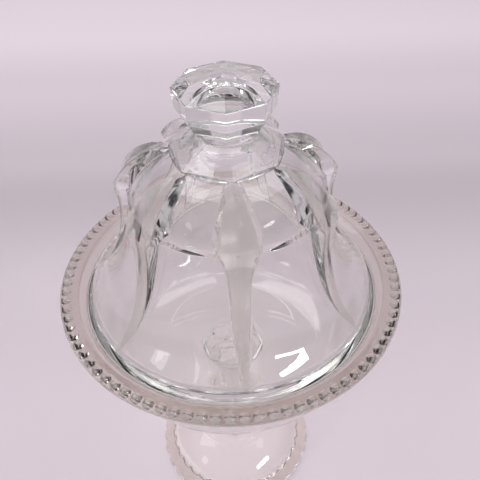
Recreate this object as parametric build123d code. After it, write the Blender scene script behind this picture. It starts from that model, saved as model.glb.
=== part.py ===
from build123d import *
import os
from math import asin, cos, pi, sin, sqrt

# Covered compote in clear pressed glass: a deep bowl with a beaded rim on a tall
# eight-panelled stem with a scalloped foot, and a loose bell-shaped cover with
# eight ribs and an eight-sided knob. Millimetres, +Z up. The origin is on the
# table under the middle of the foot, and the front is towards -Y.

# How many times each ornament repeats round the axis
SIDES = 8
BEADS = 88
SCALLOPS = 32

# Where each ornament starts, in degrees round the axis from the front
RIB_TURN = 4.1
KNOB_TURN = 0.5
BEAD_TURN = -1.45
STEM_TURN = -2.9

# Foot
foot_radius = 58.0
foot_edge = 4.5
foot_ring_width = 12.0
foot_hollow_step = 4.0
foot_hollow_height = 20.0
foot_crown_radius = 29.0
foot_crown_height = 28.0
foot_swell = 2.0
scallop_depth = 1.3

# Stem, measured from the axis square to its flat panels
stem_top_z = 118.5
stem_waist_z = 86.0
stem_base_step = 2.5
stem_waist = 10.5
stem_top = 17.0
stem_collar = 3.0

# Wafer of glass that joins the stem to the bowl
wafer_radius = 22.5
wafer_thickness = 3.5

# Bowl
bowl_floor_radius = 45.0
bowl_floor = 5.0
bowl_mouth_radius = 80.0
bowl_wall = 5.0
bowl_depth = 60.0
ledge_width = 9.5
ledge_thickness = 6.0
gallery_height = 1.8
gallery_slope = 1.2
rim_width = 11.0
rim_edge = 3.0
bead_radius = 3.0
bead_inset = 3.5

# Bell cover, whose foot laps the ledge outside the mouth of the bowl
seat_gap = 0.3
cover_lap = 3.0
cover_wall = 4.5
band_height = 7.0
band_draft = 3.5
mouth_draft = 1.75
shoulder_height = 65.5
shoulder_radius = 52.5
shoulder_cut = 1.2
panel_bulge = 3.2
crown_height = 91.5
crown_radius = 29.5
crown_lip = 1.0
crown_bow = 1.3
crown_top_height = 99.5
crown_top_step = 1.0
crown_thickness = 6.5

# Flare of the bell: it draws in fast above its band and is upright at its shoulder
flare_start_power = 0.65
flare_end_power = 1.45
flare_stations = (0, 0.03, 0.1, 0.2, 0.35, 0.55, 0.8, 1)

# Ribs of the cover
rib_stand = 5.9
rib_half_width = 10.9
rib_waist_half_width = 4.5
rib_ridge_share = 0.55
rib_groove_share = 0.25
rib_dome_power = 2.3
rib_top_power = 0.6
rib_sink = 2.0
rib_stand_power = 1.3
rib_tip_power = 0.15
rib_spread_power = 8
rib_upper_stations = (1, 0.8, 0.6, 0.4, 0.2, 0.06)
rib_lower_stations = (0.04, 0.15, 0.35, 0.55, 0.75, 0.9, 1)

# Knob
neck_radius = 13.0
neck_height = 6.5
neck_sink = 1.0
knob_base_radius = 19.4
knob_radius = 25.3
knob_flare_height = 8.5
knob_girdle = 10.0
knob_girdle_draft = 0.7
knob_peak = 7.0

# Radii that follow from the sizes above
foot_ring_radius = foot_radius - foot_ring_width
ledge_radius = bowl_mouth_radius + ledge_width
rim_radius = ledge_radius + rim_width
cover_radius = bowl_mouth_radius + cover_lap
band_radius = cover_radius - band_draft

# Heights that follow from the sizes above
bowl_bottom_z = stem_top_z + wafer_thickness
bowl_floor_z = bowl_bottom_z + bowl_floor
ledge_z = bowl_floor_z + bowl_depth
gallery_z = ledge_z + gallery_height
cover_z = ledge_z + seat_gap
band_z = cover_z + band_height
shoulder_z = cover_z + shoulder_height
crown_z = cover_z + crown_height
crown_top_z = cover_z + crown_top_height

# Half the angle of one of the eight sides: a corner's radius times its cosine
# is the distance from the axis to a flat
HALF_SIDE = pi / SIDES


def run(*points):
    """Straight runs through (radius, height) points in the XZ plane."""
    return Polyline(*[(r, 0, z) for r, z in points])


def arc(start, through, end):
    """Circular arc through three (radius, height) points in the XZ plane."""
    return ThreePointArc(*[(r, 0, z) for r, z in (start, through, end)])


def curve(points):
    """Smooth curve through (radius, height) points in the XZ plane."""
    return Spline(*[(r, 0, z) for r, z in points])


def bulged_middle(start, end, bulge):
    """Middle of a chord moved outwards, square to the chord, by the bulge."""
    run_r = end[0] - start[0]
    run_z = end[1] - start[1]
    length = sqrt(run_r**2 + run_z**2)
    middle_r = (start[0] + end[0]) / 2 + bulge * abs(run_z) / length
    middle_z = (start[1] + end[1]) / 2 + bulge * abs(run_r) / length
    return (middle_r, middle_z)


def domed_radius(start, end, power, height):
    """Radius, at one height, of a dome that leaves its start upright.

    The power sets how full the dome is: 2 is an ellipse, and more is fuller.
    """
    rise = (height - start[1]) / (end[1] - start[1])
    return end[0] + (start[0] - end[0]) * (1 - rise**power) ** (1 / power)


def bulged_radius(start, end, bulge, height):
    """Radius, at one height, of the circular arc with that bulge over a chord."""
    half = sqrt((end[0] - start[0]) ** 2 + (end[1] - start[1]) ** 2) / 2
    sweep = (half**2 + bulge**2) / (2 * bulge)
    centre_r, centre_z = bulged_middle(start, end, bulge - sweep)
    return centre_r + sqrt(sweep**2 - (height - centre_z) ** 2)


def flare_from_waist(waist, end):
    """Circular arc that leaves the waist upright and swings out to the end."""
    out = end[0] - waist[0]
    rise = end[1] - waist[1]
    sweep = (out**2 + rise**2) / (2 * out)
    half_angle = asin(rise / sweep) / 2
    middle = (waist[0] + sweep * (1 - cos(half_angle)), waist[1] + sweep * sin(half_angle))
    return arc(waist, middle, end)


def spin(*edges):
    """Solid of revolution about Z of a closed outline in the XZ plane."""
    return revolve(make_face(edges), axis=Axis.Z)


def eight_sided(outline, reach, turn):
    """Eight-sided column that shows the outline square on to each of its flats.

    The outline is the edges of one side, from the axis at the bottom to the axis
    at the top. The column is what four crossing plates of that outline share.
    """
    axis_line = Line(outline[-1] @ 1, outline[0] @ 0)
    half = make_face([*outline, axis_line])
    plate = extrude(half + mirror(half, about=Plane.YZ), amount=reach, dir=(0, 1, 0), both=True)
    column = None
    for pair in range(SIDES // 2):
        turned = Rot(0, 0, turn + 180 / SIDES + pair * 360 / SIDES) * plate
        column = turned if column is None else column & turned
    return column


def ring_of_arcs(count, corner_radius, crest_radius, turn):
    """Flat face bounded by equal arcs that meet in corners and swell between them."""
    pitch = 360 / count
    front = Vector(0, -1, 0)
    edges = []
    for number in range(count):
        start = turn + number * pitch
        corner = (front * corner_radius).rotate(Axis.Z, start)
        crest = (front * crest_radius).rotate(Axis.Z, start + pitch / 2)
        next_corner = (front * corner_radius).rotate(Axis.Z, start + pitch)
        edges.append(ThreePointArc(corner, crest, next_corner))
    return make_face(edges)


def scalloped_disc(radius, height):
    """Upright prism whose edge is a ring of shallow round scallops."""
    outline = ring_of_arcs(SCALLOPS, radius - scallop_depth, radius, STEM_TURN)
    return extrude(outline, amount=height, dir=(0, 0, 1))


def foot_and_stem():
    """Hollow scalloped foot with the solid eight-panelled stem that rises from it."""
    brim = (foot_radius, foot_edge)
    crown = (foot_crown_radius, foot_crown_height)
    foot = spin(
        run((0, 0), (foot_radius, 0), brim),
        curve([brim, bulged_middle(brim, crown, foot_swell), crown]),
        run(crown, (0, foot_crown_height), (0, 0)),
    )
    foot = foot & scalloped_disc(foot_radius, foot_crown_height)
    hollow_edge = (foot_ring_radius - scallop_depth, foot_hollow_step)
    hollow_top = (foot_ring_radius / 4, foot_hollow_height)
    hollow = spin(
        run((0, foot_hollow_step / 2), (hollow_edge[0], foot_hollow_step / 2), hollow_edge),
        curve([hollow_edge, bulged_middle(hollow_edge, hollow_top, foot_swell), hollow_top]),
        run(hollow_top, (0, foot_hollow_height), (0, foot_hollow_step / 2)),
    )
    hollow = hollow + scalloped_disc(foot_ring_radius, foot_hollow_step)
    root_z = (foot_hollow_height + foot_crown_height) / 2
    base = foot_crown_radius * cos(HALF_SIDE) - stem_base_step
    waist = (stem_waist, stem_waist_z)
    collar_z = stem_top_z - stem_collar
    stem = eight_sided(
        [
            run((0, root_z), (base, root_z), (base, foot_crown_height)),
            flare_from_waist(waist, (base, foot_crown_height)),
            flare_from_waist(waist, (stem_top, collar_z)),
            run((stem_top, collar_z), (stem_top, stem_top_z), (0, stem_top_z)),
        ],
        2 * foot_radius,
        STEM_TURN,
    )
    return foot - hollow + stem


def joining_wafer():
    """Round wafer of glass between the stem and the bowl, with a rounded edge."""
    edge = wafer_thickness / 2
    middle_z = stem_top_z + edge
    flat = wafer_radius - edge
    return spin(
        run((0, stem_top_z), (flat, stem_top_z)),
        arc((flat, stem_top_z), (wafer_radius, middle_z), (flat, bowl_bottom_z)),
        run((flat, bowl_bottom_z), (0, bowl_bottom_z), (0, stem_top_z)),
    )


def bowl_body():
    """Turned shape of the bowl: floor, wall, ledge for the cover and raised rim."""
    inner_sweep = bowl_mouth_radius - bowl_floor_radius
    outer_sweep = inner_sweep + bowl_wall
    outer_radius = bowl_mouth_radius + bowl_wall
    inner_knee_z = bowl_floor_z + inner_sweep
    outer_knee_z = bowl_bottom_z + outer_sweep
    diagonal = sqrt(0.5)
    under_z = ledge_z - ledge_thickness
    rim_under_z = gallery_z - rim_edge
    inside_turn = (
        bowl_floor_radius + inner_sweep * diagonal,
        inner_knee_z - inner_sweep * diagonal,
    )
    outside_turn = (
        bowl_floor_radius + outer_sweep * diagonal,
        outer_knee_z - outer_sweep * diagonal,
    )
    rim_round = rim_edge / 2
    return spin(
        run((0, bowl_floor_z), (bowl_floor_radius, bowl_floor_z)),
        arc((bowl_floor_radius, bowl_floor_z), inside_turn, (bowl_mouth_radius, inner_knee_z)),
        run(
            (bowl_mouth_radius, inner_knee_z),
            (bowl_mouth_radius, ledge_z),
            (ledge_radius, ledge_z),
            (ledge_radius + gallery_slope, gallery_z),
            (rim_radius - rim_round, gallery_z),
        ),
        arc(
            (rim_radius - rim_round, gallery_z),
            (rim_radius, gallery_z - rim_round),
            (rim_radius - rim_round, rim_under_z),
        ),
        run(
            (rim_radius - rim_round, rim_under_z),
            (outer_radius, under_z),
            (outer_radius, outer_knee_z),
        ),
        arc((outer_radius, outer_knee_z), outside_turn, (bowl_floor_radius, bowl_bottom_z)),
        run((bowl_floor_radius, bowl_bottom_z), (0, bowl_bottom_z), (0, bowl_floor_z)),
    )


def bowl():
    """Bowl with its ring of beads round the rim."""
    ring = rim_radius - bead_inset
    bead = Pos(0, -ring, gallery_z) * Sphere(bead_radius)
    beads = [Rot(0, 0, BEAD_TURN + bead_number * 360 / BEADS) * bead for bead_number in range(BEADS)]
    body = bowl_body()
    return body.fuse(*[single.solid() for single in beads])


def flare_share(share):
    """How far in the bell has drawn by that share of the height of its flare."""
    return 1 - (1 - share**flare_start_power) ** flare_end_power


def flare_radius(share):
    """Outer radius of the flare, from its band at 0 to its shoulder at 1."""
    return band_radius - (band_radius - shoulder_radius) * flare_share(share)


def flare_height(share):
    """Height at that share of the flare."""
    return band_z + (shoulder_z - band_z) * share


def flare_inside(share):
    """Point one wall inside the flare, square to its outside.

    The slope is that of a short chord round the point.
    """
    chord = 0.002
    low = max(share - chord, 0)
    high = min(share + chord, 1)
    run_r = flare_radius(high) - flare_radius(low)
    run_z = flare_height(high) - flare_height(low)
    length = sqrt(run_r**2 + run_z**2)
    radius = flare_radius(share) - cover_wall * run_z / length
    height = flare_height(share) + cover_wall * run_r / length
    return (radius, height)


def bell_flare():
    """Turned lower part of the bell, up to the shoulder, not yet hollow."""
    side = [(flare_radius(share), flare_height(share)) for share in flare_stations]
    return spin(
        run((0, cover_z), (cover_radius, cover_z), side[0]),
        curve(side),
        run(side[-1], (0, shoulder_z), (0, cover_z)),
    )


def bell_panels():
    """Eight flat panels that lean in from the shoulder to the crown."""
    shoulder = (shoulder_radius - shoulder_cut, shoulder_z)
    under_lip = (crown_radius * cos(HALF_SIDE) - crown_lip, crown_z - crown_lip)
    return eight_sided(
        [
            run((0, shoulder_z), shoulder),
            arc(shoulder, bulged_middle(shoulder, under_lip, panel_bulge), under_lip),
            run(under_lip, (0, crown_z - crown_lip)),
        ],
        2 * shoulder_radius,
        RIB_TURN,
    )


def bell_crown():
    """Lip with eight bowed sides, and the eight facets that rise from it to the neck."""
    bowed_side = crown_radius * cos(HALF_SIDE) + crown_bow
    top_radius = neck_radius + crown_top_step
    lip_face = ring_of_arcs(SIDES, crown_radius, bowed_side, RIB_TURN)
    top_face = ring_of_arcs(SIDES, top_radius, top_radius, RIB_TURN)
    lip = extrude(Pos(0, 0, crown_z - crown_lip) * lip_face, amount=crown_lip, dir=(0, 0, 1))
    facets = loft([Pos(0, 0, crown_z) * lip_face, Pos(0, 0, crown_top_z) * top_face], ruled=True)
    return lip + facets


def bell_hollow():
    """Turned space inside the bell."""
    side = [flare_inside(share) for share in flare_stations]
    mouth = (side[0][0] + mouth_draft, cover_z)
    shoulder = side[-1]
    under_crown = (crown_radius * cos(HALF_SIDE) - cover_wall, crown_z - cover_wall)
    apex_z = crown_top_z - crown_thickness
    return spin(
        run((0, cover_z), mouth, side[0]),
        curve(side),
        curve([shoulder, bulged_middle(shoulder, under_crown, panel_bulge), under_crown]),
        run(under_crown, (neck_radius, apex_z), (0, apex_z), (0, cover_z)),
    )


def rib_section(height, ridge, foot, half_width):
    """Section of a rib: a shallow groove between two ridges, sunk into the wall."""
    stand = ridge - foot
    dip = min(stand, rib_sink) / 2
    offset = half_width * rib_ridge_share
    spread = offset + (half_width - offset) * (stand + dip) / stand
    corners = [
        (0, rib_groove_share * stand - ridge),
        (offset, -ridge),
        (spread, dip - foot),
        (spread, rib_sink - foot),
        (-spread, rib_sink - foot),
        (-spread, dip - foot),
        (-offset, -ridge),
    ]
    return Pos(0, 0, height) * make_face(Polyline(*corners, close=True))


def rib():
    """One rib: widest at the shoulder, pointed at the crown and at the band."""
    shoulder_ridge = (shoulder_radius + rib_stand, shoulder_z)
    crown_corner = (crown_radius, crown_z)
    panel_shoulder = (shoulder_radius - shoulder_cut, shoulder_z)
    panel_crown = (crown_radius * cos(HALF_SIDE), crown_z)
    upper = []
    for share in rib_upper_stations:
        height = crown_z - (crown_z - shoulder_z) * share
        ridge = domed_radius(shoulder_ridge, crown_corner, rib_dome_power, height)
        foot = bulged_radius(panel_shoulder, panel_crown, panel_bulge, height)
        spread = rib_half_width * sin(share * pi / 2) ** rib_top_power
        upper.append(rib_section(height, ridge, foot, spread))
    lower = []
    for share in rib_lower_stations:
        foot = flare_radius(share)
        ridge = foot + rib_stand * share**rib_stand_power
        spread = rib_waist_half_width * share**rib_tip_power
        spread += (rib_half_width - rib_waist_half_width) * share**rib_spread_power
        lower.append(rib_section(flare_height(share), ridge, foot, spread))
    return loft(upper) + loft(lower)


def bell_cover():
    """Bell with its panels, crown and ribs, hollow inside."""
    bell = bell_flare() + bell_panels() + bell_crown()
    one_rib = rib()
    for number in range(SIDES):
        bell += Rot(0, 0, RIB_TURN + number * 360 / SIDES) * one_rib
    return bell - bell_hollow()


def finial_knob():
    """Solid eight-sided knob on a short round neck."""
    base_z = crown_top_z + neck_height
    flare_z = base_z + knob_flare_height
    girdle_z = flare_z + knob_girdle
    flat = knob_radius * cos(HALF_SIDE)
    knob = eight_sided(
        [
            run(
                (0, base_z),
                (knob_base_radius * cos(HALF_SIDE), base_z),
                (flat - knob_girdle_draft, flare_z),
                (flat, girdle_z),
                (0, girdle_z + knob_peak),
            )
        ],
        2 * knob_radius,
        KNOB_TURN,
    )
    neck = Pos(0, 0, crown_top_z) * Cylinder(
        neck_radius, neck_height + neck_sink, align=(Align.CENTER, Align.CENTER, Align.MIN)
    )
    return knob + neck


os.makedirs("parts", exist_ok=True)
for name, make in (
    ("foot_and_stem", foot_and_stem),
    ("joining_wafer", joining_wafer),
    ("bowl", bowl),
    ("bell_cover", bell_cover),
    ("finial_knob", finial_knob),
):
    piece = make()
    export_step(piece, f"parts/{name}.step")
    print(name, round(piece.volume), piece.bounding_box().size)
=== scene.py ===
"""Covered compote in clear pressed glass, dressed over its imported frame.

The five glass pieces are smooth surfaces worked out with numpy, with the small
round edges of a pressed piece. Sizes are in millimetres and go to metres once,
when a mesh is made. An azimuth is measured round the axis from the front (-Y)
towards the right (+X).
"""
import logging
from dataclasses import dataclass
from enum import Enum, IntEnum

import bpy
import numpy as np
from mathutils import Matrix, Vector


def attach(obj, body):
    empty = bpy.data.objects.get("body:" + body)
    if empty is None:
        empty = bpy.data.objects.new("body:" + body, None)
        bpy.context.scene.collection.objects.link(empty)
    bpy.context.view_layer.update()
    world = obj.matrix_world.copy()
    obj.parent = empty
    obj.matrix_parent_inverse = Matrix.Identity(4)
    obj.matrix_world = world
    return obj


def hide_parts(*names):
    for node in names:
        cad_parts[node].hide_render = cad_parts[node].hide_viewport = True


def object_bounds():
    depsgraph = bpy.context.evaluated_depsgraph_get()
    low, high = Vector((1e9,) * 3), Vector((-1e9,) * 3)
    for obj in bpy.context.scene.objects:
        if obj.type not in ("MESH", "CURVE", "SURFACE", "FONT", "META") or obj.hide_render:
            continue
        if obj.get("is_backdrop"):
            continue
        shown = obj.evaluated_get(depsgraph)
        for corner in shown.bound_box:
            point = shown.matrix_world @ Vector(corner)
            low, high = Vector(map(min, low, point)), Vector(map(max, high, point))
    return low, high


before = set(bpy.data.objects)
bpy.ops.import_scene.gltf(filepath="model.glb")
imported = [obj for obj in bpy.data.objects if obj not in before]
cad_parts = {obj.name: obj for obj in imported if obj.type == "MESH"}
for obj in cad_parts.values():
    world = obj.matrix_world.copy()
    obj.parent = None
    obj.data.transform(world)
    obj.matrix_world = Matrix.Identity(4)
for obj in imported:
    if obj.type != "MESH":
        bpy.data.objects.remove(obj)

log = logging.getLogger("compote")

MM = 0.001
SIDES = 8
HALF_SIDE = np.pi / SIDES
RIBS = 7
HALF_PANEL = np.pi / RIBS
TINY = 1e-9
SLOPE_STEP = 0.002
RIB_SINE_LIMIT = 0.9
SHARP_ANGLE = np.radians(50)
ROUND_STEPS = np.array([-1.25, -1, -0.5, 0, 0.5, 1, 1.25])
ROUND_LIMIT = 0.38
SRGB_CUT = 0.04045


class Body(Enum):
    """The two bodies of the frame."""

    BASE = "base"
    COVER = "cover"


class Slot(Enum):
    """The record's material slots."""

    PRESSED_GLASS = "pressed_glass"
    COVER_GLASS = "cover_glass"


class FootRun(IntEnum):
    """Runs of the profile of foot and stem, in the order that they are laid."""

    HOLLOW = 0
    STEP = 1
    UNDERSIDE = 2
    DOME = 3
    STEM_BELOW_WAIST = 4
    STEM_OVER_WAIST = 5
    TOP = 6


class FaceMark(Enum):
    """Marks on a piece's faces that its material reads as 0 or 1."""

    FUSED = "fused"
    SATIN = "satin"
    # Faces that get painted shade.
    THICK = "painted_shade"


# ---------------- colours and nodes


def linear(hex_colour: str) -> tuple[float, float, float, float]:
    """Turn an sRGB hex colour into linear red, green, blue and alpha.

    Args:
        hex_colour: six hex digits after a hash sign.

    Returns:
        The linear colour, with an alpha of 1.
    """
    srgb = np.array([int(hex_colour[i:i + 2], 16) for i in (1, 3, 5)]) / 255
    low = srgb / 12.92
    high = ((srgb + 0.055) / 1.055) ** 2.4
    return (*np.where(srgb <= SRGB_CUT, low, high).tolist(), 1.0)


def add_node(
    tree: bpy.types.NodeTree, kind: str,
    settings: dict | None = None, values: dict | None = None, links: dict | None = None,
) -> bpy.types.Node:
    """Add one shader node with its settings, socket values and incoming links.

    Args:
        tree: the node tree that the node goes into.
        kind: the node's type name, less "ShaderNode".
        settings: properties of the node.
        values: socket values by socket name or number.
        links: what feeds its inputs, by name or number: a socket, a node for that
            node's first output, or None.

    Returns:
        The new node.
    """
    node = tree.nodes.new("ShaderNode" + kind)
    for key, value in (settings or {}).items():
        setattr(node, key, value)
    for key, value in (values or {}).items():
        node.inputs[key].default_value = value
    for key, feed in (links or {}).items():
        if feed is not None:
            output = feed.outputs[0] if isinstance(feed, bpy.types.Node) else feed
            tree.links.new(output, node.inputs[key])
    return node


def empty_tree(owner: bpy.types.ID) -> bpy.types.NodeTree:
    """Give a material or a world a node tree with nothing in it.

    Args:
        owner: the material or the world.

    Returns:
        The tree.
    """
    owner.use_nodes = True
    owner.node_tree.nodes.clear()
    return owner.node_tree


def paint_ramp(node: bpy.types.Node, stops: list) -> None:
    """Put stops on a colour ramp that still has its two first ones.

    Args:
        node: the colour ramp node.
        stops: (position, colour) pairs, lowest first.
    """
    elements = node.color_ramp.elements
    elements[0].position, elements[0].color = stops[0]
    elements[1].position, elements[1].color = stops[-1]
    for position, colour in stops[1:-1]:
        elements.new(position).color = colour


# ---------------- surfaces


def soften(
    points: np.ndarray, reach: np.ndarray, closed: bool = False
) -> tuple[np.ndarray, np.ndarray]:
    """Round the corners of polylines that run along the first axis.

    A corner P with reach L becomes the parabola
    P + L (a ((1 - q) / 2)^2 + b ((1 + q) / 2)^2) for q from -1 to 1, where a and b
    are the unit directions to its neighbours. One more point stands a quarter of
    L further out on each side, so that the flats beside it stay flat in shading.
    A reach never takes more than ROUND_LIMIT of the run beside it.

    Args:
        points: array of shape (corners, ..., 3).
        reach: one reach a corner, 0 for a point that stays as it is.
        closed: True where the last point runs on into the first.

    Returns:
        The points with each rounded corner drawn out along the first axis, and the
        number of the point that each drawn row comes from.
    """
    ends = np.ones(len(points))
    if not closed:
        ends[[0, -1]] = 0
    sides = [np.roll(points, shift, axis=0) - points for shift in (1, -1)]
    runs = [np.linalg.norm(side, axis=-1, keepdims=True) for side in sides]
    before, after = (side / np.maximum(run, TINY) for side, run in zip(sides, runs))
    shape = (len(points),) + (1,) * (points.ndim - 1)
    asked = (reach * ends).reshape(shape)
    length = np.minimum(asked, ROUND_LIMIT * np.minimum(runs[0], runs[1]))
    q = ROUND_STEPS
    pull = np.where(q < -1, -q, np.clip((1 - q) / 2, 0, 1) ** 2)
    pull = pull.reshape((1, len(q)) + (1,) * (points.ndim - 1))
    moved = pull * before[:, None] + pull[:, ::-1] * after[:, None]
    drawn = points[:, None] + length[:, None] * moved
    keep = (reach * ends > 0)[:, None] | (np.arange(len(q)) == 0)[None, :]
    return drawn[keep], np.nonzero(keep)[0]


def soften_columns(grid: np.ndarray, reach: np.ndarray) -> tuple[np.ndarray, np.ndarray]:
    """Round the upright edges of rings round the axis, as soften does."""
    drawn, column = soften(np.swapaxes(grid, 0, 1), reach, closed=True)
    return np.swapaxes(drawn, 0, 1), column


def side_edges(columns: int, reach: float) -> np.ndarray:
    """One reach a column: the given one at the corners of eight sides, else 0."""
    return np.where(np.arange(columns) % (columns // SIDES) == 0, reach, 0.0)


def place(azimuth: np.ndarray, radius: np.ndarray, height: np.ndarray) -> np.ndarray:
    """Points at an azimuth, a radius and a height, broadcast against each other.

    The point is (radius sin azimuth, -radius cos azimuth, height).

    Args:
        azimuth: radians from the front.
        radius: millimetres from the axis.
        height: millimetres over the table.

    Returns:
        Array of shape (..., 3).
    """
    azimuth, radius, height = np.broadcast_arrays(azimuth, radius, height)
    return np.stack([radius * np.sin(azimuth), -radius * np.cos(azimuth), height], axis=-1)


def sided_radius(azimuth: np.ndarray, flat: np.ndarray, turn: float) -> np.ndarray:
    """Radius of a regular eight-sided section.

    It is the distance to a flat over the cosine of the angle from that flat's
    middle. A corner stands at the turn.

    Args:
        azimuth: radians from the front.
        flat: distance from the axis to a flat.
        turn: azimuth of one corner, in radians.

    Returns:
        The radius, broadcast over azimuth and flat.
    """
    from_flat = np.mod(azimuth - turn, 2 * HALF_SIDE) - HALF_SIDE
    return flat / np.cos(from_flat)


def arc_profile(start: tuple, end: tuple, bulge: float, shares: np.ndarray) -> np.ndarray:
    """Shallow arc from start to end in (radius, height), bulged outwards.

    The arc is the chord plus a parabola of that bulge square to it.

    Args:
        start: (radius, height) where the arc begins.
        end: (radius, height) where it ends.
        bulge: how far the middle stands off the chord.
        shares: shares of the chord at which points are wanted.

    Returns:
        Array of (radius, height) rows.
    """
    start, end = np.array(start), np.array(end)
    chord = end - start
    square = np.abs(chord[::-1]) / np.linalg.norm(chord)
    lift = bulge * 4 * shares * (1 - shares)
    return start + shares[:, None] * chord + lift[:, None] * square


def flare_profile(waist: tuple, end: tuple, shares: np.ndarray) -> np.ndarray:
    """Circular arc that leaves the waist upright and swings out to the end.

    With out and rise from waist to end, the sweep is (out^2 + rise^2) / (2 out).

    Args:
        waist: (radius, height) where the line is upright.
        end: (radius, height) where it ends.
        shares: shares of the arc's angle at which points are wanted.

    Returns:
        Array of (radius, height) rows.
    """
    out, rise = end[0] - waist[0], end[1] - waist[1]
    sweep = (out**2 + rise**2) / (2 * out)
    angle = np.arcsin(rise / sweep) * shares
    return np.stack([sweep * (1 - np.cos(angle)), sweep * np.sin(angle)], axis=1) + waist


def add_object(name: str, data: bpy.types.ID) -> bpy.types.Object:
    """Make an object and link it to the scene.

    Args:
        name: the object's name.
        data: its mesh, lamp or camera.

    Returns:
        The object.
    """
    made = bpy.data.objects.new(name, data)
    bpy.context.scene.collection.objects.link(made)
    return made


def closed_shell(
    name: str, grid: np.ndarray, poles: tuple[float, float],
    fused_first: bool = False, fused_last: bool = False, marked: dict | None = None,
) -> bpy.types.Object:
    """Make a closed mesh from rings of points and one pole at each end.

    Ring follows ring, the columns run on round the axis, and a pole on the axis
    closes each end with a fan. Faces turn outwards when the rings go up on the
    outside.

    Args:
        name: the piece's name.
        grid: points of shape (rings, columns, 3) in millimetres.
        poles: heights of the first and the last pole.
        fused_first: True where the first fan is fused to another piece.
        fused_last: the same for the last fan.
        marked: other marks, each with an array that is True for the quads it
            stands on and that spreads to (rings - 1, columns).

    Returns:
        The new object.
    """
    rings, columns = grid.shape[:2]
    ends = np.array([[0, 0, poles[0]], [0, 0, poles[1]]])
    points = np.concatenate([grid.reshape(-1, 3), ends]) * MM
    number = np.arange(rings * columns).reshape(rings, columns)
    beside = np.roll(number, -1, axis=1)
    quads = np.stack([number[:-1], beside[:-1], beside[1:], number[1:]], axis=-1).reshape(-1, 4)
    first = np.stack([np.full(columns, rings * columns), beside[0], number[0]], axis=-1)
    last = np.stack([np.full(columns, rings * columns + 1), number[-1], beside[-1]], axis=-1)
    corners = np.concatenate([first.ravel(), quads.ravel(), last.ravel()])
    sizes = np.repeat([3, 4, 3], [columns, len(quads), columns])
    marks = {mark: np.zeros(len(sizes), np.float32) for mark in FaceMark}
    marks[FaceMark.FUSED][:columns] = fused_first
    marks[FaceMark.FUSED][-columns:] = fused_last
    for mark, stands in (marked or {}).items():
        marks[mark][columns:-columns] = np.broadcast_to(stands, (rings - 1, columns)).ravel()
    mesh = bpy.data.meshes.new(name)
    mesh.vertices.add(len(points))
    mesh.loops.add(len(corners))
    mesh.polygons.add(len(sizes))
    mesh.vertices.foreach_set("co", points.astype(np.float32).ravel())
    mesh.loops.foreach_set("vertex_index", corners.astype(np.int32))
    mesh.polygons.foreach_set("loop_start", (np.cumsum(sizes) - sizes).astype(np.int32))
    mesh.polygons.foreach_set("loop_total", sizes.astype(np.int32))
    mesh.polygons.foreach_set("use_smooth", np.ones(len(sizes), bool))
    mesh.update(calc_edges=True)
    for mark, values in marks.items():
        mesh.attributes.new(mark.value, "FLOAT", "FACE").data.foreach_set("value", values)
    mesh.set_sharp_from_angle(angle=SHARP_ANGLE)
    return add_object(name, mesh)


# ---------------- finishes


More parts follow.
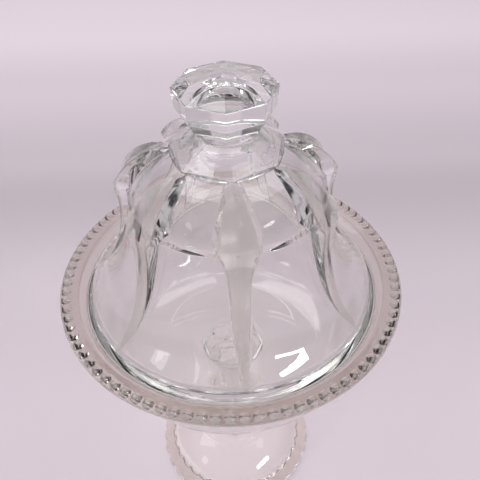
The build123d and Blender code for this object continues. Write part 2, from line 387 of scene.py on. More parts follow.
@dataclass(frozen=True)
class PressedGlass:
    """Colourless soda-lime glass, pressed in an iron mould and fire-polished.

    The eye gets a clear body, thin dark and bright lines where an edge bends the
    light, and a surface that ripples slightly from the chill of the mould. Ground
    or acid-dipped faces are satin and give an even grey with fine upright
    streaks. The shade tint is painted shade: a faint warm grey on the base's rims,
    bead band and foot underside, and a dark line along the cover's lower edge.
    Where two gathers of hot glass were joined no surface is left, so light goes
    straight through there. Soda-lime glass has an index of 1.52. Ripples are as
    wide as a fingertip and the mould's grain is that of fine cast iron. Streaks are
    drawn coarser than the tenth of a millimetre that grinding leaves, because
    those would not show in the render.
    """

    name: str
    tint: str = "#FCFCFB"
    satin_tint: str = "#E4E3DD"
    # Painted shade: the warm grey painted on marked rims and edges.
    painted_shade_tint: str = "#E3DAD3"
    ior: float = 1.52
    ripple_mm: float = 22.0
    ripple_depth_mm: float = 0.05
    grain_mm: float = 2.5
    grain_depth_mm: float = 0.004
    streak_mm: float = 0.9
    streak_depth_mm: float = 0.05
    streak_squeeze: tuple = (1.0, 1.0, 0.06)
    wear_mm: float = 14.0
    wear_starts: float = 0.5
    wear_full: float = 0.75
    clean_roughness: float = 0.0
    worn_roughness: float = 0.03
    satin_roughness: float = 0.24
    shadow_share: float = 0.93

    def material(self) -> bpy.types.Material:
        """Build the material with its ripple, grain, streaks, wear and face marks.

        Returns:
            The material.
        """
        material = bpy.data.materials.new(self.name)
        tree = empty_tree(material)
        where = add_node(tree, "TexCoord").outputs["Object"]
        upright = add_node(
            tree, "Mapping", values={"Scale": self.streak_squeeze}, links={"Vector": where}
        )
        ripple, grain, streaks, wear = (
            add_node(
                tree, "TexNoise",
                values={"Scale": 1 / (size * MM), "Detail": detail, "Roughness": rough},
                links={"Vector": way},
            )
            for size, detail, rough, way in (
                (self.ripple_mm, 1.0, 0.4, where),
                (self.grain_mm, 2.0, 0.5, where),
                (self.streak_mm, 1.0, 0.5, upright),
                (self.wear_mm, 3.0, 0.5, where),
            )
        )
        fused, satin, painted_shade = (
            add_node(tree, "Attribute", settings={"attribute_name": mark.value}).outputs["Fac"]
            for mark in FaceMark
        )
        normal = None
        for height, depth, strength in (
            (ripple, self.ripple_depth_mm, None),
            (grain, self.grain_depth_mm, None),
            (streaks, self.streak_depth_mm, satin),
        ):
            normal = add_node(
                tree, "Bump", values={"Strength": 1.0, "Distance": depth * MM},
                links={"Height": height, "Strength": strength, "Normal": normal},
            )
        worn = add_node(
            tree, "MapRange",
            values={
                "From Min": self.wear_starts, "From Max": self.wear_full,
                "To Min": self.clean_roughness, "To Max": self.worn_roughness,
            },
            links={"Value": wear},
        )
        roughness = add_node(
            tree, "Math", settings={"operation": "MULTIPLY_ADD"},
            values={1: self.satin_roughness}, links={0: satin, 2: worn},
        )
        colour = add_node(
            tree, "MixRGB",
            values={1: linear(self.tint), 2: linear(self.satin_tint)}, links={0: satin},
        )
        # Painted shade: marked faces take the shade tint.
        colour = add_node(
            tree, "MixRGB", values={2: linear(self.painted_shade_tint)}, links={0: painted_shade, 1: colour}
        )
        glass = add_node(
            tree, "BsdfPrincipled", values={"IOR": self.ior, "Transmission Weight": 1.0},
            links={"Base Color": colour, "Roughness": roughness, "Normal": normal},
        )
        passed = add_node(
            tree, "BsdfTransparent", values={"Color": (*[self.shadow_share] * 3, 1.0)}
        )
        shadow = add_node(tree, "LightPath").outputs["Is Shadow Ray"]
        shown = add_node(tree, "MixShader", links={0: shadow, 1: glass, 2: passed})
        clear = add_node(tree, "BsdfTransparent")
        joined = add_node(tree, "MixShader", links={0: fused, 1: shown, 2: clear})
        add_node(tree, "OutputMaterial", links={"Surface": joined})
        return material


def dress(
    piece: bpy.types.Object, glass: bpy.types.Material, body: Body, node: str
) -> None:
    """Give a piece its material and tie it to the frame.

    Args:
        piece: the finished object.
        glass: its material.
        body: the body that carries it.
        node: the CAD node that it stands for.
    """
    piece.data.materials.append(glass)
    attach(piece, body.value)
    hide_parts(node)
    faces = len(piece.data.polygons)
    log.info("%s rides on %s for %s, %d faces", piece.name, body.value, node, faces)


# ---------------- the pieces


@dataclass
class FootAndStem:
    """Hollow foot with a scalloped edge, and the eight-panelled stem over it."""

    turn: float = np.radians(-2.9)
    scallops: int = 32
    steps_per_scallop: int = 10
    foot_radius: float = 58.0
    foot_edge: float = 4.5
    ring_width: float = 12.0
    hollow_step: float = 4.0
    hollow_height: float = 20.0
    ceiling_share: float = 0.25
    crown_radius: float = 29.0
    crown_height: float = 28.0
    swell: float = 2.0
    scallop_depth: float = 1.3
    stem_top_z: float = 118.5
    stem_waist_z: float = 86.0
    base_step: float = 2.5
    waist: float = 10.5
    stem_top: float = 17.0
    collar: float = 3.0
    edge_reach: float = 0.9
    panel_reach: float = 0.8
    step_reach: float = 0.4
    rim_reach: float = 1.2
    collar_reach: float = 0.6
    dome_steps: int = 9
    stem_steps: int = 12
    scallop_fade: float = 3.0

    def azimuths(self) -> np.ndarray:
        """Even azimuths, so that a scallop's corner and a panel's edge fall on one."""
        count = self.scallops * self.steps_per_scallop
        return self.turn + np.arange(count) * 2 * np.pi / count

    def scallop(self, azimuth: np.ndarray) -> np.ndarray:
        """How far the scalloped edge stands in: depth times one less |sine|."""
        return self.scallop_depth * (1 - np.abs(np.sin((azimuth - self.turn) * self.scallops / 2)))

    def build(self) -> bpy.types.Object:
        """Lay the rings from the top of the hollow, under the foot and up the stem.

        A ring's radius is its round radius or that of its eight-sided section, less
        the scallop where the ring is on the foot's edge.

        Returns:
            The piece.
        """
        inner = self.foot_radius - self.ring_width
        base = self.crown_radius * np.cos(HALF_SIDE) - self.base_step
        shares = np.linspace(0, 1, self.dome_steps)
        hollow = arc_profile(
            (inner * self.ceiling_share, self.hollow_height),
            (inner - self.scallop_depth, self.hollow_step),
            self.swell, shares,
        )
        dome = arc_profile(
            (self.foot_radius, self.foot_edge),
            (self.crown_radius, self.crown_height),
            self.swell, shares,
        )
        bend = np.linspace(0, 1, self.stem_steps)
        waist = (self.waist, self.stem_waist_z)
        runs = {
            FootRun.HOLLOW: hollow,
            FootRun.STEP: [(inner, self.hollow_step)],
            FootRun.UNDERSIDE: [(inner, 0), (self.foot_radius, 0)],
            FootRun.DOME: dome,
            FootRun.STEM_BELOW_WAIST: flare_profile(waist, (base, self.crown_height), bend)[::-1],
            FootRun.STEM_OVER_WAIST: flare_profile(
                waist, (self.stem_top, self.stem_top_z - self.collar), bend
            )[1:],
            FootRun.TOP: [(self.stem_top, self.stem_top_z)],
        }
        profile = np.concatenate(list(runs.values()))
        run = np.repeat(list(runs), [len(rows) for rows in runs.values()])
        scalloped = np.isin(run, (FootRun.STEP, FootRun.UNDERSIDE)).astype(float)
        scalloped[run == FootRun.DOME] = np.clip(1 - shares * self.scallop_fade, 0, 1)
        reach = np.zeros(len(profile))
        for kind, reaches in {
            FootRun.STEP: self.step_reach,
            FootRun.UNDERSIDE: self.edge_reach,
            FootRun.DOME: (self.rim_reach, self.edge_reach),
            FootRun.STEM_BELOW_WAIST: (self.edge_reach, 0),
            FootRun.STEM_OVER_WAIST: (0, self.collar_reach),
        }.items():
            reach[np.flatnonzero(run == kind)[[0, -1]]] = reaches
        azimuth = self.azimuths()[None, :]
        flat, height = profile[:, :1], profile[:, 1:]
        sided = (run >= FootRun.STEM_BELOW_WAIST)[:, None]
        radius = np.where(sided, sided_radius(azimuth, flat, self.turn), flat)
        radius = radius - scalloped[:, None] * self.scallop(azimuth)
        grid = place(azimuth, radius, height)
        grid, _ = soften_columns(grid, side_edges(grid.shape[1], self.panel_reach))
        grid, row = soften(grid, reach)
        under = run[row] == FootRun.UNDERSIDE
        under = (under[:-1] & under[1:])[:, None]
        # The foot's underside ring is satin, and it also gets a painted warm grey as painted shade
        # where the foot stands on the floor.
        return closed_shell(
            "foot_and_stem_glass", grid, (self.hollow_height, self.stem_top_z),
            fused_last=True, marked={FaceMark.SATIN: under, FaceMark.THICK: under},
        )


@dataclass
class JoiningWafer:
    """Round wafer of glass between the stem and the bowl."""

    stem: FootAndStem
    radius: float = 22.5
    flat_inset: float = 0.1
    thickness: float = 3.5
    cove_steps: int = 12

    def flat_radius(self) -> float:
        """Radius of its upper face, where it runs out under the bowl."""
        return self.radius - self.flat_inset

    def top_z(self) -> float:
        """Height of its upper face."""
        return self.stem.stem_top_z + self.thickness

    def build(self) -> bpy.types.Object:
        """Lay the rings over the stem's top section and up a hollow curve.

        The curve is a quarter of an ellipse. It leaves the stem upright and runs
        out level under the bowl.

        Returns:
            The piece.
        """
        angle = np.linspace(0, np.pi / 2, self.cove_steps)[:, None]
        azimuth = self.stem.azimuths()[None, :]
        stem = sided_radius(azimuth, self.stem.stem_top, self.stem.turn)
        grid = place(
            azimuth,
            self.flat_radius() - (self.flat_radius() - stem) * np.cos(angle),
            self.stem.stem_top_z + self.thickness * np.sin(angle),
        )
        grid, _ = soften_columns(grid, side_edges(grid.shape[1], self.stem.panel_reach))
        return closed_shell(
            "joining_wafer_glass", grid, (self.stem.stem_top_z, self.top_z()),
            fused_first=True, fused_last=True,
        )


@dataclass
class Bowl:
    """Deep bowl with a flat ledge for the cover and a beaded rim."""

    wafer: JoiningWafer
    beads: int = 88
    bead_turn: float = np.radians(-1.45)
    steps_per_bead: int = 12
    bead_radius: float = 2.95
    bead_inset: float = 3.5
    floor_radius: float = 45.0
    floor: float = 5.0
    mouth_radius: float = 80.0
    wall: float = 5.0
    depth: float = 60.0
    ledge_width: float = 9.5
    ledge_thickness: float = 6.0
    gallery_height: float = 1.8
    gallery_slope: float = 1.2
    rim_width: float = 10.99
    rim_edge: float = 3.0
    rim_bevel: float = 1.0
    rim_lip: float = 0.35
    cell_depth: float = 3.35
    knee_steps: int = 15
    flat_radii: tuple = (30, 12)
    rim_reaches: tuple = (2.2, 0.8, 0.6, 0.3)
    ledge_reaches: tuple = (0.7, 0.7, 1.1)

    def ledge_z(self) -> float:
        """Height of the ledge that carries the cover."""
        return self.wafer.top_z() + self.floor + self.depth

    def rim_radius(self) -> float:
        """Outer radius of the rim."""
        return self.mouth_radius + self.ledge_width + self.rim_width

    def azimuths(self) -> np.ndarray:
        """Even azimuths, with the same number of columns for every bead."""
        count = self.beads * self.steps_per_bead
        return self.bead_turn - np.pi / self.beads + np.arange(count) * 2 * np.pi / count

    def bead_band(self) -> np.ndarray:
        """Rings across the beads, from the outer edge of their cells to the inner.

        A cell has coordinates p along the rim and q across it, from -1 to 1, and
        m is the larger of |p| and |q|. Up to m = 5/6 a point lies on the bead at
        the polar angle 90 degrees times 6 m / 5, in the direction (p, q). From
        there to m = 1 it runs straight to the flat edge of the cell.

        Returns:
            Array of shape (rings, columns, 3).
        """
        steps = self.steps_per_bead
        split = 1 - 2 / steps
        across = np.linspace(1, -1, steps + 1)[:, None]
        along = (np.arange(steps) / steps * 2 - 1)[None, :]
        p, q = np.broadcast_arrays(along, across)
        m = np.maximum(np.abs(p), np.abs(q))
        length = np.maximum(np.hypot(p, q), TINY)
        polar = np.pi / 2 * np.minimum(m / split, 1)
        out = np.clip((m - split) / (1 - split), 0, 1)
        pitch = 2 * np.pi / self.beads
        ring = self.rim_radius() - self.bead_inset
        on_bead = self.bead_radius * np.sin(polar)
        x = (1 - out) * on_bead * p / length + out * p * ring * pitch / 2
        y = (1 - out) * on_bead * q / length + out * q * self.cell_depth
        z = self.bead_radius * np.cos(polar)
        turn = x / (ring + y * (1 - out))
        gallery = self.ledge_z() + self.gallery_height
        centres = self.bead_turn + np.arange(self.beads) * pitch
        azimuth = centres[None, :, None] + turn[:, None, :]
        radius = np.broadcast_to((ring + y)[:, None, :], azimuth.shape)
        height = np.broadcast_to((gallery + z)[:, None, :], azimuth.shape)
        return place(azimuth, radius, height).reshape(steps + 1, -1, 3)

    def build(self) -> bpy.types.Object:
        """Lay the rings up the outside, over the rim and the beads, and down inside.

        Underside and inside are quarter circles of the wall's two radii about one
        ring at the knee.

        Returns:
            The piece.
        """
        bottom, ledge = self.wafer.top_z(), self.ledge_z()
        gallery = ledge + self.gallery_height
        rim = self.rim_radius()
        inner = self.mouth_radius - self.floor_radius
        outer = inner + self.wall
        knee = bottom + outer
        angle = np.linspace(0, np.pi / 2, self.knee_steps)
        outside, inside = (
            np.stack([radius * np.sin(angle), -radius * np.cos(angle)], axis=1)
            + (self.floor_radius, knee)
            for radius in (outer, inner)
        )
        wide, narrow = self.flat_radii
        ledge_end = self.mouth_radius + self.ledge_width
        below = np.array([
            (self.wafer.flat_radius(), bottom), (wide, bottom), *outside,
            (self.mouth_radius + self.wall, ledge - self.ledge_thickness),
            (rim - self.rim_bevel, gallery - self.rim_edge),
            (rim, gallery - self.rim_edge / 2), (rim, gallery - self.rim_lip),
        ])
        above = np.array([
            (ledge_end + self.gallery_slope, gallery), (ledge_end, ledge),
            (self.mouth_radius, ledge), *inside[::-1],
            (wide, bottom + self.floor), (narrow, bottom + self.floor),
        ])
        reach_below, reach_above = np.zeros(len(below)), np.zeros(len(above))
        reach_below[-len(self.rim_reaches):] = self.rim_reaches
        reach_above[:len(self.ledge_reaches)] = self.ledge_reaches
        azimuth = self.azimuths()[None, :]
        low = place(azimuth, below[:, :1], below[:, 1:])
        high = place(azimuth, above[:, :1], above[:, 1:])
        beads = self.bead_band()
        rings = np.concatenate([low, beads, high])
        reach = np.concatenate([reach_below, np.zeros(len(beads)), reach_above])
        rings, ring = soften(rings, reach)
        # Painted shade: the outer rim and the bead band are marked for the painted warm grey.
        painted_shade = (ring >= len(below) - len(self.rim_reaches)) & (ring <= len(below) + len(beads))
        return closed_shell(
            "bowl_glass", rings, (bottom, bottom + self.floor),
            fused_first=True, marked={FaceMark.THICK: painted_shade[:-1, None]},
        )


@dataclass
class BellCover:
    """Bell with seven ribs, seven leaning panels and a seven-sided crown."""

    bowl: Bowl
    turn: float = np.radians(4.1)
    seat_gap: float = 0.3
    lap: float = 3.0
    wall: float = 4.5
    band_height: float = 7.0
    band_draft: float = 3.5
    band_share: float = 0.05
    mouth_inset: float = 4.2
    shoulder_height: float = 65.5
    shoulder_radius: float = 52.5
    shoulder_cut: float = 1.2
    shoulder_gap: int = 3
    panel_bulge: float = 4.2
    crown_height: float = 91.5
    crown_radius: float = 29.5
    crown_lip: float = 1.0
    crown_bow: float = 1.9
    crown_top_height: float = 99.5
    crown_top_radius: float = 14.0
    crown_thickness: float = 6.5
    ceiling_radius: float = 12.0
    inside_share: float = 0.05
    inside_reaches: tuple = (2.0, 1.5, 1.5, 0.8)
    neck_radius: float = 13.0
    rib_stand: float = 7.8
    # How far a ridge stands aside from the rib's middle, at heights over the edge.
    ridge_places: tuple = (
        (0, 0.25), (10, 2.4), (21.7, 3.8), (36, 4.5), (50, 4.9), (60.7, 5.8), (65.5, 6.8),
        (68.5, 8.2), (72, 10.4), (76, 9.4), (80, 8.1), (85, 6.2), (89, 4.0), (91.5, 0.6),
    )
    rib_ridge_share: float = 0.86
    rib_groove_share: float = 0.2
    grooved_width: float = 4.0
    rib_dome_power: float = 1.65
    rib_stand_power: float = 1.3
    rib_tip: float = 0.25
    flare_power: float = 0.65
    flare_fullness: float = 1.45
    crowding: float = 1.5
    edge_height: float = 0.8
    panel_rise: float = 0.4
    wall_steps: int = 8
    band_steps: int = 8
    flare_steps: int = 44
    inside_steps: int = 34
    dome_steps: int = 12
    panel_steps: int = 32
    facet_steps: int = 5
    edge_reach: float = 0.7
    shoulder_reach: float = 2.0
    crown_reach: float = 0.5
    lip_reach: float = 0.45
    rib_reach: float = 0.8

    def bottom_z(self) -> float:
        """Height of the cover's lower edge."""
        return self.bowl.ledge_z() + self.seat_gap

    def crown_top_z(self) -> float:
        """Height of the seat of the knob."""
        return self.bottom_z() + self.crown_top_height

    def flare_radius(self, share: np.ndarray) -> np.ndarray:
        """Outer radius at a share of the flare's height, upright at the shoulder."""
        low = self.bowl.mouth_radius + self.lap - self.band_draft
        still_out = (1 - share**self.flare_power) ** self.flare_fullness
        return low - (low - self.shoulder_radius) * (1 - still_out)

    def flare_height(self, share: np.ndarray) -> np.ndarray:
        """Height at a share of the flare."""
        low = self.bottom_z() + self.band_height
        return low + (self.bottom_z() + self.shoulder_height - low) * share

    def flare_inside(self, share: np.ndarray) -> np.ndarray:
        """Line one wall inside the flare, square to it.

        Args:
            share: shares of the flare's height.

        Returns:
            Array of (radius, height) rows.
        """
        low = np.maximum(share - SLOPE_STEP, 0)
        high = np.minimum(share + SLOPE_STEP, 1)
        out = self.flare_radius(high) - self.flare_radius(low)
        rise = self.flare_height(high) - self.flare_height(low)
        length = np.hypot(out, rise)
        radius = self.flare_radius(share) - self.wall * rise / length
        height = self.flare_height(share) + self.wall * out / length
        return np.stack([radius, height], axis=1)

    def section(
        self, round_radius: np.ndarray, flat: np.ndarray, flatness: np.ndarray,
        bow: np.ndarray, ridge: np.ndarray, half_width: np.ndarray, height: np.ndarray,
    ) -> np.ndarray:
        """Closed level sections of the ribbed bell, one for each entry.

        In the seventh of a turn about one rib, x runs out along the rib and y
        across it. The rib has a shallow groove at y = 0, a ridge at 0.86 of its
        half width and its foot at y = half width. The wall goes on to the middle
        of the panel: along a circle, along the flat of a seven-sided section bowed
        out by a parabola, or between the two by the flatness.

        Args:
            round_radius: radius of the round wall.
            flat: distance to the flats of the seven-sided wall.
            flatness: 0 for the round wall, 1 for the seven-sided one.
            bow: how far the middle of a side stands out.
            ridge: how far out the rib's two ridges stand.
            half_width: half the width of the rib.
            height: height of the section.

        Returns:
            Array of shape (sections, columns, 3).
        """
        given = np.broadcast_arrays(round_radius, flat, flatness, bow, ridge, half_width, height)
        radius, flat, flatness, bow, ridge, width, height = (
            np.asarray(values, float)[:, None] for values in given
        )
        share = np.linspace(0, 1, self.wall_steps + 1)[None, :]
        foot_angle = np.arcsin(np.minimum(width / radius, RIB_SINE_LIMIT))
        angle = foot_angle + (HALF_PANEL - foot_angle) * share
        sine, cosine = np.sin(HALF_PANEL), np.cos(HALF_PANEL)
        foot_x = (flat - width * sine) / cosine
        side_x = foot_x + (flat * cosine - foot_x) * share
        side_y = width + (flat * sine - width) * share
        from_middle = np.hypot(side_x - flat * cosine, side_y - flat * sine)
        from_middle = np.minimum(from_middle / (flat * np.tan(HALF_PANEL)), 1)
        lift = bow * (1 - from_middle**2)
        side_x, side_y = side_x + lift * cosine, side_y + lift * sine
        wall_x = (1 - flatness) * radius * np.cos(angle) + flatness * side_x
        wall_y = (1 - flatness) * radius * np.sin(angle) + flatness * side_y
        ridge_y = self.rib_ridge_share * width
        depth = self.rib_groove_share * np.clip(width / self.grooved_width, 0, 1)
        groove = ridge + (wall_x[:, :1] - ridge) * depth
        x = np.concatenate([wall_x[:, ::-1], ridge, groove, ridge, wall_x[:, :-1]], axis=1)
        y = np.concatenate(
            [-wall_y[:, ::-1], -ridge_y, 0 * ridge, ridge_y, wall_y[:, :-1]], axis=1
        )
        ribs = self.turn + np.arange(RIBS) * 2 * HALF_PANEL
        sine, cosine = np.sin(ribs)[None, :, None], np.cos(ribs)[None, :, None]
        across = x[:, None] * sine + y[:, None] * cosine
        deep = -x[:, None] * cosine + y[:, None] * sine
        up = np.broadcast_to(height[:, :, None], across.shape)
        return np.stack([across, deep, up], axis=-1).reshape(len(height), -1, 3)

    def rib_half_width(self, height: np.ndarray) -> np.ndarray:
        """Half the width of a rib at its foot, at a height over the table."""
        over_edge, aside = np.array(self.ridge_places).T
        return np.interp(height - self.bottom_z(), over_edge, aside) / self.rib_ridge_share

    def flare_shares(self, count: int) -> np.ndarray:
        """Shares of the flare's height, closer together at the bottom."""
        return self.band_share + (1 - self.band_share) * np.linspace(0, 1, count) ** self.crowding

    def inside(self) -> tuple[np.ndarray, np.ndarray]:
        """Rings of the turned inside, from under the crown down to the mouth.

        Returns:
            Array of shape (rings, columns, 3), and one reach a ring.
        """
        apex = self.crown_top_z() - self.crown_thickness
        crown = (
            self.crown_radius * np.cos(HALF_PANEL) - self.wall,
            self.bottom_z() + self.crown_height - self.wall,
        )
        flare = self.flare_inside(self.flare_shares(self.inside_steps))[::-1]
        shares = np.linspace(0, 1, self.dome_steps)
        dome = arc_profile(tuple(flare[0]), crown, self.panel_bulge, shares)[::-1]
        mouth = (self.bowl.mouth_radius + self.lap - self.mouth_inset, self.bottom_z())
        line = np.concatenate([[(self.ceiling_radius, apex)], dome, flare[1:], [mouth]])
        reach = np.zeros(len(line))
        reach[[0, 1, len(dome), -1]] = self.inside_reaches
        radius, height = line[:, 0], line[:, 1]
        return self.section(radius, radius, 0, 0, radius, radius * self.inside_share, height), reach

    def flare(self) -> np.ndarray:
        """Rings of the outside from the lower edge to the shoulder, with the ribs.

        A rib stands off the flare by share^1.3 of its full stand. The lower edge
        stands upright and bends into the flare along a parabola.

        Returns:
            Array of shape (rings, columns, 3).
        """
        share = self.flare_shares(self.flare_steps)
        radius, height = self.flare_radius(share), self.flare_height(share)
        ridge = radius + self.rib_stand * share**self.rib_stand_power
        width = self.rib_half_width(height)
        bottom, edge = self.bottom_z(), self.bowl.mouth_radius + self.lap
        slope = (height[1] - height[0]) / (radius[1] - radius[0])
        knee = np.array([edge, height[0] + slope * (edge - radius[0])])
        start, end = np.array([edge, bottom + self.edge_height]), np.array([radius[0], height[0]])
        q = np.linspace(0, 1, self.band_steps, endpoint=False)[:, None]
        bent = (1 - q) ** 2 * start + 2 * q * (1 - q) * knee + q**2 * end
        out, up = np.concatenate([[(edge, bottom)], bent]).T
        low = self.section(out, out, 0, 0, out, self.rib_half_width(up), up)
        return np.concatenate([low, self.section(radius, radius, 0, 0, ridge, width, height)])

    def panels(self) -> np.ndarray:
        """Rings of the leaning panels and the upper ribs, shoulder to crown.

        Panels follow a shallow arc. Ridges follow the dome
        (1 - rise^1.65)^(1 / 1.65), where rise is the share of height from shoulder
        to crown.

        Returns:
            Array of shape (rings, columns, 3).
        """
        shoulder_z = self.bottom_z() + self.shoulder_height
        crown_z = self.bottom_z() + self.crown_height
        crown_flat = self.crown_radius * np.cos(HALF_PANEL)
        share = 1 - np.linspace(1, 0, self.panel_steps) ** self.crowding
        flat, height = arc_profile(
            (self.shoulder_radius - self.shoulder_cut, shoulder_z + self.panel_rise),
            (crown_flat - self.crown_lip, crown_z - self.crown_lip),
            self.panel_bulge, share,
        ).T
        rise = (height - shoulder_z) / (crown_z - shoulder_z)
        reach = self.shoulder_radius + self.rib_stand - self.crown_radius
        power = self.rib_dome_power
        ridge = self.crown_radius + reach * (1 - rise**power) ** (1 / power)
        return self.section(flat, flat, 1, 0, ridge, self.rib_half_width(height), height)

    def crown(self) -> np.ndarray:
        """Rings of the bowed lip, the seven facets and the round seat of the knob.

        Returns:
            Array of shape (rings, columns, 3).
        """
        crown_z = self.bottom_z() + self.crown_height
        top_z = self.crown_top_z()
        flat = self.crown_radius * np.cos(HALF_PANEL)
        share = np.linspace(0, 1, self.facet_steps + 1)
        lip = self.section(
            np.full(2, flat), flat, 1, self.crown_bow, self.crown_radius, self.rib_tip,
            np.array([crown_z - self.crown_lip, crown_z]),
        )
        top, seat = (
            self.section(np.array([radius]), 1.0, 0, 0, radius, self.rib_tip, np.array([top_z]))
            for radius in (self.crown_top_radius, self.neck_radius)
        )
        facets = lip[-1:] + (top - lip[-1:]) * share[1:, None, None]
        return np.concatenate([lip, facets, seat])

    def build(self) -> bpy.types.Object:
        """Lay the rings down the inside, round the lower edge and up the outside.

        Returns:
            The piece.
        """
        inside, reach_inside = self.inside()
        flare = np.delete(self.flare(), np.s_[-1 - self.shoulder_gap:-1], axis=0)
        panels = np.delete(self.panels(), np.s_[1:1 + self.shoulder_gap], axis=0)
        crown = self.crown()
        reach_flare, reach_panels, reach_crown = (
            np.zeros(len(rings)) for rings in (flare, panels, crown)
        )
        reach_flare[[0, -1]] = self.edge_reach, self.shoulder_reach
        reach_panels[[0, -1]] = self.shoulder_reach, self.crown_reach
        reach_crown[[0, 1, -2]] = self.lip_reach, self.lip_reach, self.crown_reach
        reach = np.concatenate([reach_inside, reach_flare, reach_panels, reach_crown])
        grid = np.concatenate([inside, flare, panels, crown])
        column = np.arange(grid.shape[1]) % (grid.shape[1] // RIBS)
        groove = self.wall_steps + 2
        edges = np.where(np.abs(column - groove) <= 2, self.rib_reach, 0.0)
        grid, drawn = soften_columns(grid, edges)
        on_top = np.abs(column[drawn] - groove) <= 1
        on_top &= np.roll(on_top, -1)
        grid, ring = soften(grid, reach)
        ring = ring[:-1]
        edge = len(inside)
        on_rib = (ring > edge) & (ring < edge + len(flare) + len(panels))
        apex = self.crown_top_z() - self.crown_thickness
        return closed_shell(
            "bell_cover_glass", grid, (apex, self.crown_top_z()), fused_last=True,
            marked={
                FaceMark.SATIN: on_rib[:, None] & on_top[None, :],
                # Painted shade: the ring round the lower edge takes the dark shade tint.
                FaceMark.THICK: (ring == edge)[:, None],
            },
        )


@dataclass
class FinialKnob:
    """Solid eight-sided knob with a low star top, on a short round neck."""

    cover: BellCover
    turn: float = np.radians(0.5)
    neck_height: float = 6.5
    base_radius: float = 19.4
    radius: float = 25.3
    flare_height: float = 8.5
    girdle: float = 10.0
    girdle_draft: float = 0.7
    peak: float = 7.0
    steps_per_side: int = 10
    edge_reach: float = 0.5
    neck_reach: float = 0.4
    top_shares: tuple = (0.25, 0.98)
    top_steps: int = 5

    def build(self) -> bpy.types.Object:
        """Lay the rings from the seat, out under the knob, up its sides and over.

        Returns:
            The piece.
        """
        count = SIDES * self.steps_per_side
        azimuth = (self.turn + np.arange(count) * 2 * np.pi / count)[None, :]
        seat = self.cover.crown_top_z()
        base = seat + self.neck_height
        flare = base + self.flare_height
        girdle = flare + self.girdle
        apex = girdle + self.peak
        cosine = np.cos(HALF_SIDE)
        flats = np.array([self.base_radius, self.radius, self.radius]) * cosine
        flats -= (0, self.girdle_draft, 0)
        heights = np.array([[base], [flare], [girdle]])
        neck = place(azimuth, self.cover.neck_radius, np.array([[seat], [base]]))
        sided = place(azimuth, sided_radius(azimuth, flats[:, None], self.turn), heights)
        share = np.linspace(*self.top_shares, self.top_steps)[:, None, None]
        top = sided[-1] + (np.array([0, 0, apex]) - sided[-1]) * share
        grid = np.concatenate([neck, sided, top])
        reach = np.zeros(len(grid))
        reach[1] = self.neck_reach
        reach[2:5] = self.edge_reach
        grid, _ = soften_columns(grid, side_edges(count, self.edge_reach))
        grid, _ = soften(grid, reach)
        return closed_shell("finial_knob_glass", grid, (seat, apex), fused_first=True)


# ---------------- studio


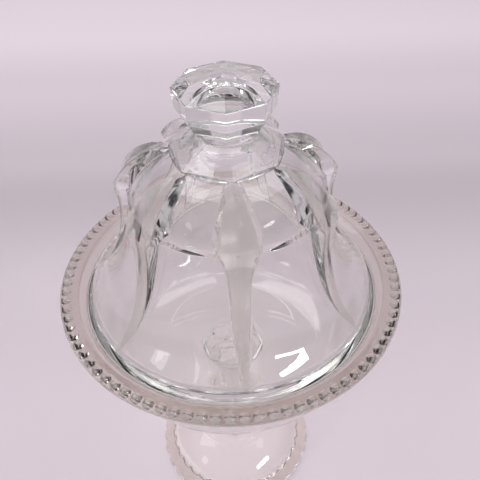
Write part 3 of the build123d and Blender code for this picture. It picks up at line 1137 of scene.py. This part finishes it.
@dataclass
class Studio:
    """Pale floor, soft light and the camera at the photograph's angle."""

    # Matt paper without a shine, painted in bands from front to back: painted shade in a band about
    # a third of a metre behind the compote, and painted light further back.
    painted_floor_tones: tuple = (
        (0.0, "#E2D5DE"), (0.15, "#DACED7"), (0.32, "#CABFC7"),
        (0.40, "#D5C9D2"), (0.60, "#E7DAE4"), (0.80, "#F8EBF5"),
    )
    tone_reach: float = 1.0
    paper_roughness: float = 0.7
    paper_shine: float = 0.2
    # Tones of the room by rise, ahead and behind, then those of the dark flags aside.
    room_tones: tuple = (
        (0.0, (0.52, 0.50, 0.52)), (0.14, (0.52, 0.50, 0.52)), (0.24, (0.34, 0.33, 0.33)),
        (0.38, (0.34, 0.33, 0.33)), (0.55, (0.46, 0.45, 0.46)), (0.9, (0.50, 0.49, 0.50)),
    )
    side_tones: tuple = (
        (0.0, (0.50, 0.48, 0.50)), (0.12, (0.50, 0.48, 0.50)), (0.21, (0.03, 0.03, 0.03)),
        (0.42, (0.03, 0.03, 0.03)), (0.54, (0.44, 0.43, 0.44)), (0.9, (0.50, 0.49, 0.50)),
    )
    side_starts: float = 0.35
    side_full: float = 0.65
    lamps: tuple = (
        ("window_right", 44, 31, 1.6, (0.56, 0.11), 6),
        ("window_left", -56, 30, 1.8, (0.30, 0.22), 0.6),
        ("overhead_left", -120, 62, 2.2, (1.6, 1.2), 16),
        ("overhead_right", 100, 70, 2.4, (1.2, 1.2), 9.5),
    )
    floor_size: float = 6.0
    floor_gap: float = 0.0001
    aim_height: float = 0.190
    camera_scale: float = 0.097
    distance: float = 3.542705972856518
    elevation: float = 0.8030776277332663
    roll: float = 0.03281611096406247
    pan: float = -0.017919900610770898
    tilt: float = 0.0538390438490363
    focal_pixels: float = 571.0349603164935
    picture_pixels: int = 480
    sensor_width: float = 36.0
    nearest: float = 0.01
    passes_through_glass: int = 32
    reflections: int = 12

    def floor(self) -> None:
        """Lay the pale paper under the foot and mark it as stage."""
        half, low = self.floor_size / 2, -self.floor_gap
        mesh = bpy.data.meshes.new("floor")
        around = ((-half, -half, low), (half, -half, low), (half, half, low), (-half, half, low))
        mesh.from_pydata(around, [], [(0, 1, 2, 3)])
        material = bpy.data.materials.new("matt_paper_painted_shade")
        tree = empty_tree(material)
        where = add_node(tree, "TexCoord").outputs["Object"]
        split = add_node(tree, "SeparateXYZ", links={"Vector": where})
        behind = add_node(
            tree, "MapRange",
            values={"From Max": self.tone_reach}, links={"Value": split.outputs["Y"]},
        )
        # Painted light and shade: the paper's colour goes darker in a band behind the compote and
        # lighter further back.
        painted_tone = add_node(tree, "ValToRGB", links={"Fac": behind})
        painted_tone.color_ramp.interpolation = "EASE"
        paint_ramp(
            painted_tone, [(back / self.tone_reach, linear(colour)) for back, colour in self.painted_floor_tones]
        )
        paper = add_node(
            tree, "BsdfPrincipled",
            values={"Roughness": self.paper_roughness, "Specular IOR Level": self.paper_shine},
            links={"Base Color": painted_tone},
        )
        add_node(tree, "OutputMaterial", links={"Surface": paper})
        mesh.materials.append(material)
        add_object("floor", mesh)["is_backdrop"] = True

    def world(self) -> None:
        """Light the room softly, with a dark flag low on either side.

        Tones go by the rise of a direction. The flags draw the dark lines along the
        edges of clear glass.
        """
        world = bpy.data.worlds.new("soft_room")
        bpy.context.scene.world = world
        tree = empty_tree(world)
        way = add_node(tree, "TexCoord").outputs["Generated"]
        split = add_node(tree, "SeparateXYZ", links={"Vector": way})
        room, sides = (
            add_node(tree, "ValToRGB", links={"Fac": split.outputs["Z"]}) for _ in range(2)
        )
        for ramp, tones in ((room, self.room_tones), (sides, self.side_tones)):
            paint_ramp(ramp, [(rise, (*colour, 1.0)) for rise, colour in tones])
        aside = add_node(
            tree, "Math", settings={"operation": "ABSOLUTE"}, links={0: split.outputs["X"]}
        )
        share = add_node(
            tree, "MapRange", settings={"interpolation_type": "SMOOTHSTEP"},
            values={"From Min": self.side_starts, "From Max": self.side_full},
            links={"Value": aside},
        )
        mixed = add_node(tree, "MixRGB", links={0: share, 1: room, 2: sides})
        back = add_node(tree, "Background", values={"Strength": 1.0}, links={"Color": mixed})
        add_node(tree, "OutputWorld", links={"Surface": back})

    def lamp(
        self, name: str, azimuth: float, elevation: float, distance: float, size: tuple,
        watts: float,
    ) -> None:
        """Hang one soft rectangular lamp that faces the bell.

        Args:
            name: the lamp's name.
            azimuth: degrees from the front towards the right.
            elevation: degrees over the rim.
            distance: metres from the middle of the rim.
            size: its width and height.
            watts: its power.
        """
        turn, rise = np.radians(azimuth), np.radians(elevation)
        way = Vector((np.sin(turn) * np.cos(rise), -np.cos(turn) * np.cos(rise), np.sin(rise)))
        data = bpy.data.lights.new(name, "AREA")
        data.shape = "RECTANGLE"
        data.size, data.size_y = size
        data.energy = watts
        lamp = add_object(name, data)
        lamp.location = way * distance + Vector((0, 0, self.aim_height))
        lamp.rotation_euler = (-way).to_track_quat("-Z", "Y").to_euler()

    def camera(self) -> None:
        """Set the camera where the photograph was taken from.

        It looks at the middle of the bead ring from its distance and elevation, and
        is then panned about its own up, tilted about its right and rolled about its
        line of sight.
        """
        eye = Vector((0, -np.cos(self.elevation), np.sin(self.elevation))) * self.distance
        ahead, right = -eye.normalized(), Vector((1, 0, 0))
        up = right.cross(ahead)
        turn = Matrix.Rotation(self.pan, 3, up)
        ahead, right = turn @ ahead, turn @ right
        turn = Matrix.Rotation(self.tilt, 3, right)
        ahead, up = turn @ ahead, turn @ up
        turn = Matrix.Rotation(self.roll, 3, ahead)
        right, up = turn @ right, turn @ up
        data = bpy.data.cameras.new("camera")
        data.sensor_width = self.sensor_width
        data.lens = self.focal_pixels / self.picture_pixels * self.sensor_width
        data.clip_start = self.nearest
        camera = add_object("camera", data)
        pose = Matrix((right, up, -ahead)).transposed().to_4x4()
        pose.translation = eye * self.camera_scale + Vector((0, 0, self.aim_height))
        camera.matrix_world = pose
        bpy.context.scene.camera = camera

    def build(self) -> None:
        """Set the whole stage."""
        scene = bpy.context.scene
        scene.view_settings.view_transform = "Standard"
        scene.cycles.max_bounces = self.passes_through_glass
        scene.cycles.transmission_bounces = self.passes_through_glass
        scene.cycles.glossy_bounces = self.reflections
        self.floor()
        self.world()
        for lamp in self.lamps:
            self.lamp(*lamp)
        self.camera()


def corners() -> list:
    """The whole object's lowest and highest corner as plain lists."""
    return [[float(value) for value in corner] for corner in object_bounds()]


def main() -> None:
    """Build, dress and stage the compote."""
    logging.basicConfig(level=logging.INFO, format="%(name)s: %(message)s")
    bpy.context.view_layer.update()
    Studio().build()
    base_glass = PressedGlass("pressed_soda_lime_glass_base", tint="#F6F5F2").material()
    # Painted shade: the cover's rounded lower edge is painted much darker than the base's rim, as a
    # dark line of shade along the edge.
    cover_glass = PressedGlass("pressed_soda_lime_glass_cover", painted_shade_tint="#5E5A57").material()
    stem = FootAndStem()
    wafer = JoiningWafer(stem)
    bowl = Bowl(wafer)
    cover = BellCover(bowl)
    knob = FinialKnob(cover)
    for part, node in ((stem, "foot_and_stem"), (wafer, "joining_wafer"), (bowl, "bowl")):
        dress(part.build(), base_glass, Body.BASE, node)
    for part, node in ((cover, "bell_cover"), (knob, "finial_knob")):
        dress(part.build(), cover_glass, Body.COVER, node)


if __name__ == "__main__":
    main()
